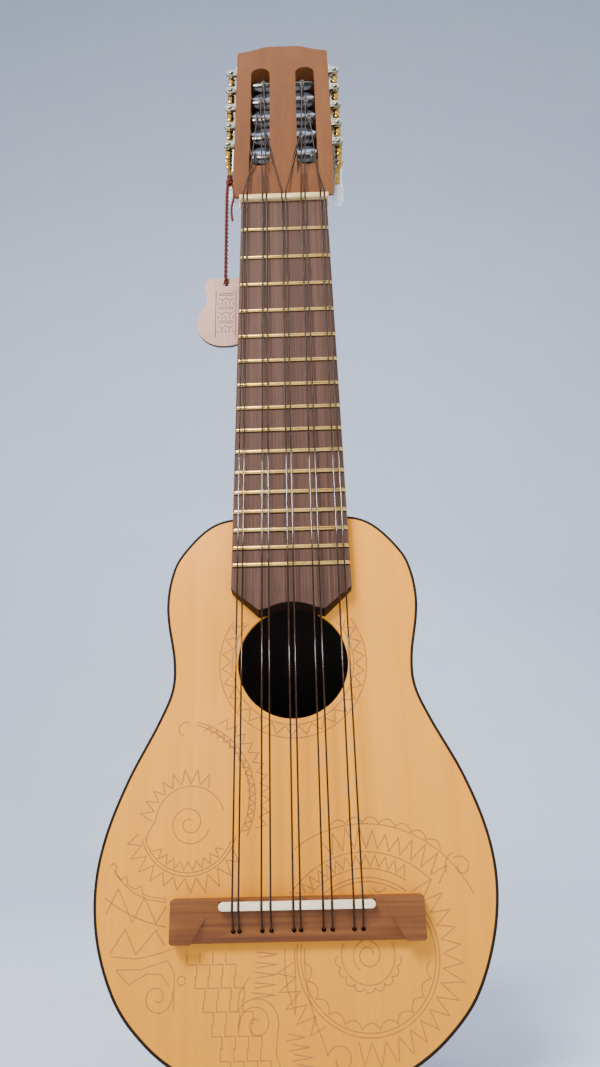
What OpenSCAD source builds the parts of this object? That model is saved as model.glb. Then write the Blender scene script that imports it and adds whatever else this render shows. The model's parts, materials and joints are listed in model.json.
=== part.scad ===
// Charango: ten strings in five courses, round-backed body, slotted head.
// +Z runs up the neck, -Y faces the player, +X is to the right seen from the front.
// The origin is on the nut's fingerboard edge, at the neck's middle depth.

/* [Scale] */
// Open string length from nut to saddle
scale_len = 370; // [364:1:376]
// Number of frets
fret_count = 16; // [12:1:16]
// Crown width of a fret
fret_w = 2; // [1.6:0.1:2.2]
// Crown height of a fret
fret_h = 1; // [0.8:0.1:1.2]

/* [Fingerboard] */
// Fingerboard width at the nut
board_w0 = 50; // [48:1:52]
// Fingerboard width where it starts to taper off over the body
board_w1 = 58; // [56:1:60]
// Fingerboard thickness
board_t = 6; // [5:0.5:6.5]

/* [Body] */
// Depth of the bowl behind the top
bowl_depth = 68; // [60:1:75]
// Wall of the bowl
bowl_wall = 4.5; // [4:0.5:6]
// Roundness of the bowl's section
bowl_round = 2.3; // [2:0.1:2.8]
// Soundboard thickness
top_t = 2.5; // [2:0.1:3]
// Radius of the sound hole
hole_r = 26; // [24:0.5:27]
// Width of the dark edging round the top
edge_w = 1.8; // [1.5:0.1:2.2]

/* [Bridge] */
// Length of the bridge
bridge_l = 106; // [100:1:110]
// Height of the bridge
bridge_h = 8; // [7:0.5:9]
// Radius of a string
string_r = 0.4; // [0.3:0.05:0.45]

/* [Head] */
// Tilt of the head behind the neck
head_tilt = 8; // [7:0.5:9]
// Thickness of the head
head_t = 18; // [16:0.5:19]
// Spacing of the tuners along the head
tuner_pitch = 18.4; // [18:0.1:18.6]
// Radius of a roller
roller_r = 4.6; // [4.4:0.1:4.8]
// Radius of the wound string on a roller
wind_r = 5.4; // [5.2:0.1:5.6]

/* [Hidden] */
$fn = 48;

top_y = -5;                       // front of the soundboard
board_y = top_y - board_t;        // front of the fingerboard
hole_z = -270;
back_y = top_y + top_t;           // back of the soundboard, which is the rim of the bowl
heel_z = -196.5;

// ---- outline of the body, right and left half, from the neck to the tail: [x, z]; the tail leans a little to the left
half_pts = [[0,-196.5],[18,-196.5],[33,-197.5],[44,-203.5],[54.5,-216.5],[60.5,-236],[59.6,-250],
  [56.6,-268],[57,-282],[63,-297],[75.5,-321.5],[83.6,-345],[85.9,-366],[82.5,-387.5],[73.9,-408],
  [62,-422],[46.9,-433],[23.8,-443.5],[-1.6,-447.5]];
left_pts = [[18,-196.5],[33,-197.5],[44,-203.5],[54.5,-216.5],[60.5,-236],[59.6,-250],
  [56.6,-268],[57,-282],[63,-297],[75.5,-321.5],[84.2,-345],[87.4,-366],[85,-387.5],[76.9,-408],
  [65.6,-422],[50.8,-433],[27.2,-443.5]];
nh = len(left_pts);
ctrl = concat(half_pts, [for (i = [nh-1:-1:0]) [-left_pts[i][0], left_pts[i][1]]]);
function cm(a,b,c,d,t) = 0.5*((2*b) + (c-a)*t + (2*a-5*b+4*c-d)*t*t + (3*b-a-3*c+d)*t*t*t);
function loop_pts(p, k) = let(n = len(p)) [for (i = [0:n-1]) for (j = [0:k-1])
  let(a = p[(i+n-1)%n], b = p[i], c = p[(i+1)%n], d = p[(i+2)%n]) cm(a,b,c,d,j/k)];
function nrm(p, i) = let(n = len(p), a = p[(i+n-1)%n], b = p[(i+1)%n], d = b-a, l = norm(d)) [d[1]/l, -d[0]/l];
// the same outline moved inward by d
function inset(p, d) = [for (i = [0:len(p)-1]) p[i] + d*nrm(p, i)];
fine = loop_pts(ctrl, 4);
coarse = loop_pts(ctrl, 2);

function rev(f) = [for (q = f) [for (i = [len(q)-1:-1:0]) q[i]]];
module flat(p, y0, y1) { translate([0,y1,0]) rotate([90,0,0]) linear_extrude(y1-y0) polygon(p); }

// ---- bowl: rings between the outline and a flat oval on the back
function oval(i, n, a, b) = let(p = coarse[i], t = atan2(p[0]/87, (p[1]+335)/112)) [a*sin(t), -340 + b*cos(t)];
function ring(ol, depth, a, b, g, y0) = let(n = len(ol), c = pow(cos(g), 2/bowl_round), s = pow(sin(g), 2/bowl_round))
  [for (i = [0:n-1]) let(e = oval(i, n, a, b)) [ol[i][0]*c + e[0]*(1-c), y0 + depth*s, ol[i][1]*c + e[1]*(1-c)]];
out_a = [0,10,20,30,40,50,60,70,80,90];
in_a = [0,15,30,45,60,75,90];
module bowl_solid() {
  n = len(coarse);
  r = [for (g = out_a) ring(coarse, bowl_depth, 30, 62, g, back_y)];
  pts = [for (q = r) for (p = q) p];
  k = len(out_a);
  polyhedron(pts, rev(concat(
    [for (j = [0:k-2]) for (i = [0:n-1]) [j*n+i, j*n+(i+1)%n, (j+1)*n+(i+1)%n, (j+1)*n+i]],
    [[for (i = [n-1:-1:0]) i]], [[for (i = [0:n-1]) (k-1)*n+i]])));
}
module bowl() {
  n = len(coarse); ko = len(out_a); ki = len(in_a);
  inner = inset(coarse, 6);
  ro = [for (g = out_a) ring(coarse, bowl_depth, 30, 62, g, back_y)];
  ri = [for (g = in_a) ring(inner, bowl_depth-bowl_wall, 27, 58, g, back_y)];
  pts = concat([for (q = ro) for (p = q) p], [for (q = ri) for (p = q) p]);
  b = ko*n;
  color([0.16,0.09,0.06]) polyhedron(pts, rev(concat(
    [for (j = [0:ko-2]) for (i = [0:n-1]) [j*n+i, j*n+(i+1)%n, (j+1)*n+(i+1)%n, (j+1)*n+i]],
    [for (j = [0:ki-2]) for (i = [0:n-1]) [b+j*n+i, b+(j+1)*n+i, b+(j+1)*n+(i+1)%n, b+j*n+(i+1)%n]],
    [for (i = [0:n-1]) [i, b+i, b+(i+1)%n, (i+1)%n]],
    [[for (i = [0:n-1]) (ko-1)*n+i]],
    [[for (i = [n-1:-1:0]) b+(ki-1)*n+i]])));
}
module y_cyl(x, z, r, y0, y1) { translate([x,y0,z]) rotate([-90,0,0]) cylinder(r = r, h = y1-y0); }
module soundboard() {
  color([0.92,0.76,0.50]) difference() {
    flat(inset(fine, edge_w), top_y, back_y);
    y_cyl(0, hole_z, hole_r, top_y-1, back_y+1);
    string_holes(top_y-1, back_y+1);
  }
}
module binding() {
  color([0.10,0.06,0.04]) difference() {
    flat(fine, top_y, back_y);
    flat(inset(fine, edge_w), top_y-1, back_y+1);
  }
}
module soundboard_braces() {
  color([0.88,0.74,0.52]) {
    translate([-49,back_y,-240]) cube([98,9,7]);
    translate([-52,back_y,-308]) cube([104,9,7]);
    difference() {
      translate([-55,back_y,-398]) cube([110,2,30]);
      string_holes(back_y-1, back_y+3);
    }
  }
}

// ---- strings: across the nut, across the saddle, in pairs
gap_nut = 2.3;
gap_sad = [2.6,3.8,2.9,3.7,3.8];
function nut_x(k) = let(c = floor(k/2)) (c-2)*11.25 + (k%2 == 0 ? -0.5 : 0.5)*gap_nut;
function sad_x(k) = let(c = floor(k/2)) (c-2)*12.7 + (k%2 == 0 ? -0.5 : 0.5)*gap_sad[c];
saddle_z = -scale_len - 2.7;
tie_z = -scale_len - 12.5;
module string_holes(y0, y1) { for (k = [0:9]) y_cyl(sad_x(k), tie_z, 0.95, y0, y1); }

// roller that each string winds on, counted from the nut, and where it lies on that roller
string_roller = [0,2,3,4,1,1,4,3,2,0];
roller_string = [0,4,1,2,3];       // left string on each roller
wind_x = [-17.6,-16.6,-14.6,-12.6,-10.8,10.8,12.6,14.6,16.6,17.6];
function roller_z(j) = 43.5 + tuner_pitch*j;
axis_d = 8;                       // depth of the roller axes behind the head's face
head_o = [0,-10,3];
function from_head(p) = [p[0], head_o[1] + p[1]*cos(head_tilt) + p[2]*sin(head_tilt), head_o[2] - p[1]*sin(head_tilt) + p[2]*cos(head_tilt)];
function unit(v) = v/norm(v);
// tube with a ring of 8 points at each stop; r holds a radius for each stop
function tube_ring(p, i, r) = let(n = len(p),
    a = i == 0 ? unit(p[1]-p[0]) : unit(p[i]-p[i-1]), b = i == n-1 ? a : unit(p[i+1]-p[i]),
    t = unit(a+b), u = unit(cross([1,0.01,0.02], t)), v = cross(t, u), m = 1/max(0.5, a*t))
  [for (q = [0:7]) p[i] + r*(cos(45*q)*u*m + sin(45*q)*v)];
module tube(p, r) {
  n = len(p);
  pts = [for (i = [0:n-1]) for (c = tube_ring(p, i, r[i])) c];
  polyhedron(pts, concat(
    [for (j = [0:n-2]) for (q = [0:7]) [j*8+q, (j+1)*8+q, (j+1)*8+(q+1)%8, j*8+(q+1)%8]],
    [[for (q = [0:7]) q]], [[for (q = [7:-1:0]) (n-1)*8+q]]));
}
nut_y = -12.9; saddle_y = -16.2;
module one_string(k) {
  w = wind_r + string_r + 0.3;
  p = [from_head([wind_x[k], axis_d - w, roller_z(string_roller[k])]),
       [nut_x(k), nut_y+0.1, 4.8], [nut_x(k), nut_y, 0.2],
       [sad_x(k), saddle_y, saddle_z+0.8], [sad_x(k), saddle_y+0.15, saddle_z-1.1],
       [sad_x(k), -11.9, tie_z+1.2], [sad_x(k), -10.9, tie_z+0.25], [sad_x(k), -10, tie_z], [sad_x(k), back_y+2.3, tie_z],
       [sad_x(k), back_y+2.9, tie_z], [sad_x(k), back_y+4.1, tie_z], [sad_x(k), back_y+4.7, tie_z]];
  s = string_r;
  tube(p, [s,s,s,s,s,s,s,s,s,1.3,1.3,0.4]);
}
module course(c) { color([0.25,0.22,0.20]) { one_string(2*c); one_string(2*c+1); } }

// ---- fingerboard, frets, nut
board_k = (board_w1-board_w0)/2/235;
function fret_z(i) = -scale_len*(1 - pow(2, -i/12));
module fretboard() {
  color([0.42,0.32,0.28]) difference() {
    flat([[-board_w0/2,0],[board_w0/2,0],[board_w1/2,-235],[board_w1/2,-236],[15.6,-248.6],[-15.6,-248.6],[-board_w1/2,-236],[-board_w1/2,-235]], board_y, top_y);
    y_cyl(0, hole_z, hole_r+0.6, board_y-1, top_y+1);
    for (i = [1:fret_count]) translate([-32, board_y-1, fret_z(i)-0.3]) cube([64, 2.8, 0.6]);
  }
}
module frets() {
  color([0.80,0.68,0.36]) for (i = [1:fret_count]) {
    w = board_w0/2 - fret_z(i)*board_k;
    f = fret_w/2; h = fret_h;
    translate([-w, board_y, fret_z(i)]) rotate([90,0,90])
      linear_extrude(2*w) polygon([[1.7,-0.28],[0,-0.28],[0,-f],[-0.5*h,-0.86*f],[-0.85*h,-0.5*f],[-h,0],[-0.85*h,0.5*f],[-0.5*h,0.86*f],[0,f],[0,0.28],[1.7,0.28]]);
  }
}
module nut() {
  color([0.93,0.88,0.72]) difference() {
    translate([-26, top_y, 0.02]) rotate([90,0,90]) linear_extrude(52)
      polygon([[0,0],[0,4.96],[-6.6,4.96],[-7.7,3.8],[-8.3,2.2],[-8.3,0.5],[-7.9,0]]);
    for (k = [0:9]) translate([nut_x(k)-0.5, nut_y-3, -1]) cube([1,3.5,7]);
  }
}

// ---- bridge and saddle
module bridge() {
  l = bridge_l/2; b = top_y; t = top_y - bridge_h; z0 = -scale_len; z1 = z0-17;
  color([0.52,0.33,0.20]) difference() {
    translate([0,0,0]) flat([[-l+0.6,z0],[l-0.6,z0],[l,z0-0.6],[l,z1+0.9],[l-0.9,z1],[-l+0.9,z1],[-l,z1+0.9],[-l,z0-0.6]], t, b);
    // slope behind the saddle
    intersection() {
      translate([0,0,z0]) rotate([90,0,90]) translate([0,0,-50]) linear_extrude(100)
        polygon([[t-1,-5.5],[t,-6.5],[t+4.4,-17.5],[t-1,-17.5]]);
      flat([[-37,z0-5],[37.5,z0-5],[45.8,z0-18.5],[-45.3,z0-18.5]], t-2, t+5);
    }
    // slot of the saddle
    translate([-32.6, t-1, saddle_z-1.7]) cube([65.2, 5, 3.4]);
    string_holes(t-1, b+1);
  }
}
module saddle() {
  t = top_y - bridge_h;
  color([0.94,0.92,0.86]) difference() {
    translate([0,0,saddle_z]) union() {
      translate([-30.85, t+4, -1.65]) rotate([90,0,0]) linear_extrude(7.2) square([61.7, 3.3]);
      for (s = [-1,1]) translate([s*30.85, t-3.2, 0]) rotate([-90,0,0]) cylinder(r = 1.65, h = 7.2);
    }
    for (k = [0:9]) translate([sad_x(k)-0.5, saddle_y-3, saddle_z-3]) cube([1,4.1,6]);
  }
}

// ---- neck and head, one piece of wood
function neck_d(z) = z > -140 ? 13 + 2*(-z/140) : 15 + 21*pow(min(60,-z-140)/60, 2.2);
function neck_w(z) = board_w0/2 - z*board_k;
module neck_loft() {
  st = [9,0,-35,-70,-105,-140,-152,-162,-171,-179,-186,-192,-197,-210];
  na = 16; m = na+3;
  pts = [for (z = st) let(w = z > 0 ? board_w0/2 : neck_w(z), d = z > 5 ? 7 : neck_d(z))
    for (i = [0:m-1]) i == 0 ? [w, top_y, z] : i == m-1 ? [-w, top_y, z] :
      let(a = 180*(i-1)/na) [w*pow(abs(cos(a)), 0.75)*(a > 90 ? -1 : 1), top_y+2.5 + (d-top_y-2.5)*pow(sin(a), 0.85), z]];
  n = len(st);
  polyhedron(pts, concat(
    [for (j = [0:n-2]) for (i = [0:m-1]) [j*m+i, j*m+(i+1)%m, (j+1)*m+(i+1)%m, (j+1)*m+i]],
    [[for (i = [m-1:-1:0]) i]], [[for (i = [0:m-1]) (n-1)*m+i]]));
}
module string_groove(k) {
  a = [nut_x(k), nut_y+0.1, 4.8];
  b = from_head([wind_x[k], axis_d-wind_r-string_r-0.3, roller_z(string_roller[k])]);
  l = norm(b-a); d = (b-a)/l;
  translate(a + 0.42*(b-a)) rotate([0, acos(d[2]), atan2(d[1], d[0])]) cylinder(r = 0.9, h = 0.5*l, $fn = 16);
}
head_half = [[27.4,1],[28.4,3],[29.5,7],[30.1,13],[30.2,30],[30.2,145.4],[29.3,146.6],[26,147.2],[22,148.2],[18,149.8],[14,151.6],[10.8,152.6]];
slot_x = 14.6; slot_w = 12.3; slot_z0 = 35.6; slot_z1 = 128.2;
module on_head() { translate(head_o) rotate([-head_tilt,0,0]) children(); }
module slot_hole(s) {
  y_cyl(s*slot_x, slot_z0+slot_w/2, slot_w/2, -1, head_t+1);
  y_cyl(s*slot_x, slot_z1-slot_w/2, slot_w/2, -1, head_t+1);
  translate([s*slot_x-slot_w/2, -1, slot_z0+slot_w/2]) cube([slot_w, head_t+2, slot_z1-slot_z0-slot_w]);
  // ramp that lets the strings down to the nearest rollers
  translate([s*slot_x-slot_w/2-0.3, 0, 0]) rotate([90,0,90]) linear_extrude(slot_w+0.6)
    polygon([[-1,18],[0,20],[4.4,36],[4.4,43],[-1,43]]);
}
module neck_headstock() {
  hp = concat(head_half, [for (i = [len(head_half)-1:-1:0]) [-head_half[i][0], head_half[i][1]]]);
  color([0.64,0.43,0.27]) difference() {
    union() {
      neck_loft();
      on_head() difference() {
        flat(hp, 0, head_t);
        // the shoulders slope away under the head
        for (x = [-40, 25.3]) translate([x, 0, 0]) rotate([90,0,90]) linear_extrude(14.7) polygon([[0.4,-6],[0.4,1],[19,25.2],[19,-6]]);
      }
    }
    translate([-40, -30, -20]) cube([80, 30+top_y, 25]);
    bowl_solid();
    flat(fine, top_y-1, back_y+0.5);
    on_head() for (s = [-1,1]) {
      slot_hole(s);
      for (j = [0:4]) translate([s < 0 ? -40 : 4.5, axis_d, roller_z(j)]) rotate([0,90,0]) cylinder(r = roller_r+0.06, h = 35.5);
      for (q = screw_at) translate([s < 0 ? -31 : 26, q[0], q[1]]) rotate([0,90,0]) cylinder(r = 0.8, h = 5);
    }
    // grooves in which the two middle strings pass the edge of the slots
    for (k = [4,5]) string_groove(k);
  }
}

// ---- tuning machines; s = 1 on the right, -1 on the left
teeth = 14;
worm_up = 8.5;                    // worm axis above the roller axis
mach_x = 34.2;                    // middle of the cogs and worms
screw_at = [[8,31.5],[14.2,76.3],[14.2,94.7],[8,131]];
module side(s) { on_head() if (s < 0) mirror([1,0,0]) children(); else children(); }
module plate() {
  difference() {
    union() {
      translate([30.22, 2, 28]) cube([1.2, 14.8, 106]);
      for (j = [0:4]) for (y = [0.6,15.6]) {
        translate([30.22, y, roller_z(j)+worm_up-3.1]) cube([mach_x-30.22, 1.6, 6.2]);
        translate([mach_x, y, roller_z(j)+worm_up]) rotate([-90,0,0]) cylinder(r = 3.1, h = 1.6);
      }
    }
    for (j = [0:4]) {
      translate([29, axis_d, roller_z(j)]) rotate([0,90,0]) cylinder(r = 2.56, h = 4);
      translate([mach_x, -1, roller_z(j)+worm_up]) rotate([-90,0,0]) cylinder(r = 1.46, h = 20);
    }
    for (q = screw_at) translate([29, q[0], q[1]]) rotate([0,90,0]) cylinder(r = 1.2, h = 4);
  }
}
module tuner_plate_left() { color([0.78,0.77,0.72]) side(-1) plate(); }
module tuner_plate_right() { color([0.78,0.77,0.72]) side(1) plate(); }
module plate_screws() {
  color([0.75,0.74,0.70]) for (s = [-1,1]) side(s) for (q = screw_at) translate([0, q[0], q[1]]) rotate([0,90,0]) {
    translate([0,0,26.6]) cylinder(r = 0.75, h = 4.82);
    translate([0,0,31.42]) cylinder(r1 = 2.1, r2 = 1.3, h = 0.7);
  }
}
lead = 2*3.14159*6.75/teeth;      // advance of the worm in one turn, one tooth of the cog
// thread: a round section that circles the axis as it climbs
module worm_thread() {
  ns = 24; m = 9; h = 8;
  pts = [for (i = [0:ns]) let(a = 90 + 360*(i/ns-0.5)*h/lead) for (q = [0:m-1])
    [0.65*cos(a) + 1.75*cos(q*360/m), 0.65*sin(a) + 1.75*sin(q*360/m), i*h/ns]];
  polyhedron(pts, concat(
    [for (j = [0:ns-1]) for (q = [0:m-1]) [j*m+q, (j+1)*m+q, (j+1)*m+(q+1)%m, j*m+(q+1)%m]],
    [[for (q = [0:m-1]) q]], [[for (q = [m-1:-1:0]) ns*m+q]]));
}
module worm_shaft(s, j) {
  color([0.78,0.62,0.28]) side(s) translate([mach_x, 0, roller_z(j)+worm_up]) rotate([-90,0,0]) {
    translate([0,0,-0.2]) cylinder(r = 1.4, h = 4.4);
    translate([0,0,axis_d-4]) worm_thread();
    translate([0,0,axis_d+3.8]) cylinder(r = 1.4, h = 27.2);
    translate([0,0,17.6]) cylinder(r = 2.1, h = 3);
  }
}
module button(s, j) {
  color([0.92,0.91,0.87]) side(s) translate([mach_x, axis_d+23, roller_z(j)+worm_up]) rotate([-90,0,0])
    intersection() {
      rotate_extrude($fn = 40) polygon([[0,0],[2.4,0],[2.6,2],[5.2,4.2],[6.8,7.2],[7.1,9.5],[6.2,12.2],[4.2,14],[1.6,14.9],[0,15]]);
      difference() {
        translate([-3.6,-10,-1]) cube([7.2,20,20]);
        translate([0,0,-2]) cylinder(r = 1.42, h = 10.1);
      }
    }
}
module roller(s, j) {
  color([0.82,0.83,0.84]) side(s) translate([0, axis_d, roller_z(j)]) rotate([0,90,0]) {
    translate([0,0,4.8]) cylinder(r = roller_r, h = 25.1);
    translate([0,0,29.9]) cylinder(r = 2.5, h = 3.3);
  }
  x = abs(wind_x[roller_string[j]]);
  color([0.85,0.85,0.82]) side(s) translate([x-1.7, axis_d, roller_z(j)]) rotate([0,90,0]) difference() {
    cylinder(r = wind_r, h = 3.4);
    translate([0,0,-1]) cylinder(r = roller_r, h = 6);
  }
}
module cog(s, j) {
  a = 360/teeth;
  color([0.80,0.64,0.30]) side(s) translate([33.2, axis_d, roller_z(j)]) rotate([0,90,0]) {
    difference() {
      rotate([0,0,180]) linear_extrude(2) polygon([for (i = [0:teeth-1]) for (q = [[0.5-0.25,5.7],[0.5-0.11,6.7],[0.5+0.11,6.7],[0.5+0.25,5.7]])
        [q[1]*cos((i+q[0])*a), q[1]*sin((i+q[0])*a)]]);
      translate([0,0,-1]) cylinder(r = 1.2, h = 5);
    }
    cylinder(r = 1.2, h = 2);
    translate([0,0,2]) cylinder(r = 2.3, h = 0.9);
  }
}

// ---- tag on its cord, hung from the shaft of the left machine nearest the nut
tag_y = 21.2; tag_x = -37; tag_hole = -33;
tag_half = [[0,4],[8,4],[11,3],[12.4,0],[12.6,-4],[11.7,-9],[11.6,-12],[13.4,-17],[16,-22],[17,-28],[15.6,-35],[11.5,-40.5],[5.6,-43.6],[0,-44.2]];
nt = len(tag_half);
tag_ctrl = concat(tag_half, [for (i = [nt-2:-1:1]) [-tag_half[i][0], tag_half[i][1]]]);
module tag() {
  color([0.86,0.70,0.60]) difference() {
    flat([for (p = loop_pts(tag_ctrl, 3)) p + [tag_x, tag_hole]], tag_y-1, tag_y+1);
    y_cyl(tag_x, tag_hole, 1.7, tag_y-2, tag_y+2);
  }
}
// doubled cord from the knot under the shaft, down in front of the tag and through its hole
cord_run = [[-36.2,21,47.6],[-36.7,20.3,43],[-37,19.5,36],[-37,19,28],[-37,18.7,18],[-37,18.5,6],[-37,18.4,-6],[-37,18.3,-16],[-37,18.2,-25],
  [-37,18.4,-30],[-37,19.3,-32.3],[-37,20.4,-33],[-37,22.4,-33],[-37,22.8,-33],[-37,24.6,-33],[-37,25.2,-33]];
cord_run_r = [1.2,1.2,1.2,1.2,1.2,1.2,1.2,1.2,1.2,1.2,1.2,1.2,1.2,2.5,2.5,1];
// loose end of the cord
cord_tail = [[-35.6,21.6,47],[-34,21.6,44.6],[-33,21.2,41],[-32.8,20.8,36.5],[-33.2,20.6,32],[-34,20.4,27.5],[-34.3,20.3,23],[-34,20.3,18.5],[-33.6,20.3,15.5]];
shaft_depth = 24.5;
module tag_cord() {
  color([0.55,0.17,0.12]) {
    tube(cord_run, cord_run_r);
    tube(cord_tail, [for (p = cord_tail) 0.75]);
    // loop round the shaft
    on_head() translate([-mach_x, shaft_depth, roller_z(0)+worm_up]) rotate([-90,0,0])
      rotate_extrude() translate([2.75,0]) circle(r = 1, $fn = 24);
    translate([-36.1,21.2,47.2]) sphere(r = 1.9);
  }
}

bowl();
soundboard();
binding();
soundboard_braces();
neck_headstock();
fretboard();
frets();
nut();
bridge();
saddle();
course(0);  // course_1
course(1);  // course_2
course(2);  // course_3
course(3);  // course_4
course(4);  // course_5
tuner_plate_left();
tuner_plate_right();
plate_screws();
tag();
tag_cord();
worm_shaft(-1, 0);  // worm_shaft_1
worm_shaft(-1, 1);  // worm_shaft_2
worm_shaft(-1, 2);  // worm_shaft_3
worm_shaft(-1, 3);  // worm_shaft_4
worm_shaft(-1, 4);  // worm_shaft_5
worm_shaft(1, 0);  // worm_shaft_6
worm_shaft(1, 1);  // worm_shaft_7
worm_shaft(1, 2);  // worm_shaft_8
worm_shaft(1, 3);  // worm_shaft_9
worm_shaft(1, 4);  // worm_shaft_10
button(-1, 0);  // button_1
button(-1, 1);  // button_2
button(-1, 2);  // button_3
button(-1, 3);  // button_4
button(-1, 4);  // button_5
button(1, 0);  // button_6
button(1, 1);  // button_7
button(1, 2);  // button_8
button(1, 3);  // button_9
button(1, 4);  // button_10
roller(-1, 0);  // roller_1
roller(-1, 1);  // roller_2
roller(-1, 2);  // roller_3
roller(-1, 3);  // roller_4
roller(-1, 4);  // roller_5
roller(1, 0);  // roller_6
roller(1, 1);  // roller_7
roller(1, 2);  // roller_8
roller(1, 3);  // roller_9
roller(1, 4);  // roller_10
cog(-1, 0);  // cog_1
cog(-1, 1);  // cog_2
cog(-1, 2);  // cog_3
cog(-1, 3);  // cog_4
cog(-1, 4);  // cog_5
cog(1, 0);  // cog_6
cog(1, 1);  // cog_7
cog(1, 2);  // cog_8
cog(1, 3);  // cog_9
cog(1, 4);  // cog_10
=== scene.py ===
import bpy, bmesh, math, random, json
from mathutils import Vector, Matrix

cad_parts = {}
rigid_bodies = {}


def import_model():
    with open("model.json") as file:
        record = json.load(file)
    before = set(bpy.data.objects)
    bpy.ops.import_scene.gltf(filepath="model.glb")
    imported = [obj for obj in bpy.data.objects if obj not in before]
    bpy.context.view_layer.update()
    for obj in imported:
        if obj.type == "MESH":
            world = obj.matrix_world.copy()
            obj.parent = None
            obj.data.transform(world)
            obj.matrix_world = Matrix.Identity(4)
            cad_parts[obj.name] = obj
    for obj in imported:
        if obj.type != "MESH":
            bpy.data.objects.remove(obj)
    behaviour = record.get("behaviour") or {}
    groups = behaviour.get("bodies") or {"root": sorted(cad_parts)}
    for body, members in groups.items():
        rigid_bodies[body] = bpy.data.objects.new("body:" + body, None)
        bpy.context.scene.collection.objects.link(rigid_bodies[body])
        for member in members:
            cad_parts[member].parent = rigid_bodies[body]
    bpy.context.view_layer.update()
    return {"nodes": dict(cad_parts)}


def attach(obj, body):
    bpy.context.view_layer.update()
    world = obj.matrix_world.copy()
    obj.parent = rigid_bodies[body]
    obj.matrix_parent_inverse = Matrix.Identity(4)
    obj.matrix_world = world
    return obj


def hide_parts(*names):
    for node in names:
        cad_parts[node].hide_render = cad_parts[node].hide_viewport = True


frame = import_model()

random.seed(7)
MM = 0.001
S = bpy.context.scene

# ------------------------------------------------------------------ camera
cam_data = bpy.data.cameras.new("view_cam")
cam_data.sensor_width = 36.0
cam_data.lens = 26.16
cam_data.clip_start = 0.01
cam_data.clip_end = 50
cam = bpy.data.objects.new("view_cam", cam_data)
S.collection.objects.link(cam)
fwd = Vector((-0.01338, 0.93792, 0.34659)).normalized()
up = Vector((0.02820, -0.34612, 0.93776))
right = fwd.cross(up).normalized()
up = right.cross(fwd).normalized()
m = Matrix((right, up, -fwd)).transposed().to_4x4()
m.translation = Vector((9.906, -368.48, -339.74)) * MM
cam.matrix_world = m
S.camera = cam

# ------------------------------------------------------------------ helpers
def srgb(r, g, b):
    f = lambda c: (c / 255 / 12.92) if c / 255 <= 0.04045 else ((c / 255 + 0.055) / 1.055) ** 2.4
    return (f(r), f(g), f(b), 1.0)

def mesh_obj(name, verts, faces, mat=None, body="root", smooth=True, merge=0.0):
    me = bpy.data.meshes.new(name)
    me.from_pydata([Vector(v) * MM for v in verts], [], faces)
    bm = bmesh.new(); bm.from_mesh(me)
    if merge:
        bmesh.ops.remove_doubles(bm, verts=bm.verts, dist=merge * MM)
    bmesh.ops.recalc_face_normals(bm, faces=bm.faces)
    bm.to_mesh(me); bm.free()
    for p in me.polygons:
        p.use_smooth = smooth
    o = bpy.data.objects.new(name, me)
    S.collection.objects.link(o)
    if mat is not None:
        me.materials.append(mat)
    if body:
        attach(o, body)
    return o

def frames(pts, closed=False):
    pts = [Vector(p) for p in pts]
    n = len(pts); out = []
    def tan(i):
        if closed:
            return (pts[(i + 1) % n] - pts[i - 1]).normalized()
        a = pts[max(0, i - 1)]; b = pts[min(n - 1, i + 1)]
        return (b - a).normalized()
    t = tan(0)
    u = t.cross(Vector((0.31, 0.22, 0.93)))
    if u.length < 0.1:
        u = t.cross(Vector((1, 0, 0)))
    u.normalize()
    for i in range(n):
        t2 = tan(i)
        u = (u - t2 * u.dot(t2)).normalized()
        out.append((pts[i], u, t2.cross(u)))
        t = t2
    return out

def tube_geo(pts, r, sides=10, closed=False, round_ends=True):
    n = len(pts)
    rr = r if isinstance(r, (list, tuple)) else [r] * n
    fr = frames(pts, closed)
    verts = []; faces = []
    for (p, u, v), q in zip(fr, rr):
        for k in range(sides):
            a = 2 * math.pi * k / sides
            verts.append(p + (u * math.cos(a) + v * math.sin(a)) * q)
    m_ = n if closed else n - 1
    for i in range(m_):
        for k in range(sides):
            j = (i + 1) % n
            faces.append((i * sides + k, i * sides + (k + 1) % sides, j * sides + (k + 1) % sides, j * sides + k))
    if not closed:
        for end, i in ((-1, 0), (1, n - 1)):
            p = Vector(pts[i]); d = (Vector(pts[1]) - Vector(pts[0])) if end < 0 else (Vector(pts[-1]) - Vector(pts[-2]))
            d = d.normalized() * end
            base = i * sides
            last = [base + k for k in range(sides)]
            if round_ends:
                for a in (35, 65):
                    ring = []
                    for k in range(sides):
                        c = verts[base + k] - p
                        verts.append(p + c * math.cos(math.radians(a)) + d * rr[i] * math.sin(math.radians(a)))
                        ring.append(len(verts) - 1)
                    for k in range(sides):
                        faces.append((last[k], last[(k + 1) % sides], ring[(k + 1) % sides], ring[k]))
                    last = ring
                verts.append(p + d * rr[i])
                for k in range(sides):
                    faces.append((last[k], last[(k + 1) % sides], len(verts) - 1))
            else:
                faces.append(tuple(last))
    return verts, faces

def join_geo(parts):
    V = []; F = []
    for v, f in parts:
        b = len(V)
        V += [Vector(x) for x in v]
        F += [tuple(b + i for i in q) for q in f]
    return V, F

def smooth_path(pts, k=8):
    pts = [Vector(p) for p in pts]
    out = []
    n = len(pts)
    for i in range(n - 1):
        a = pts[max(0, i - 1)]; b = pts[i]; c = pts[i + 1]; d = pts[min(n - 1, i + 2)]
        for j in range(k):
            t = j / k
            out.append(0.5 * ((2 * b) + (c - a) * t + (2 * a - 5 * b + 4 * c - d) * t * t + (3 * b - a - 3 * c + d) * t ** 3))
    out.append(pts[-1])
    return out

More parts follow.
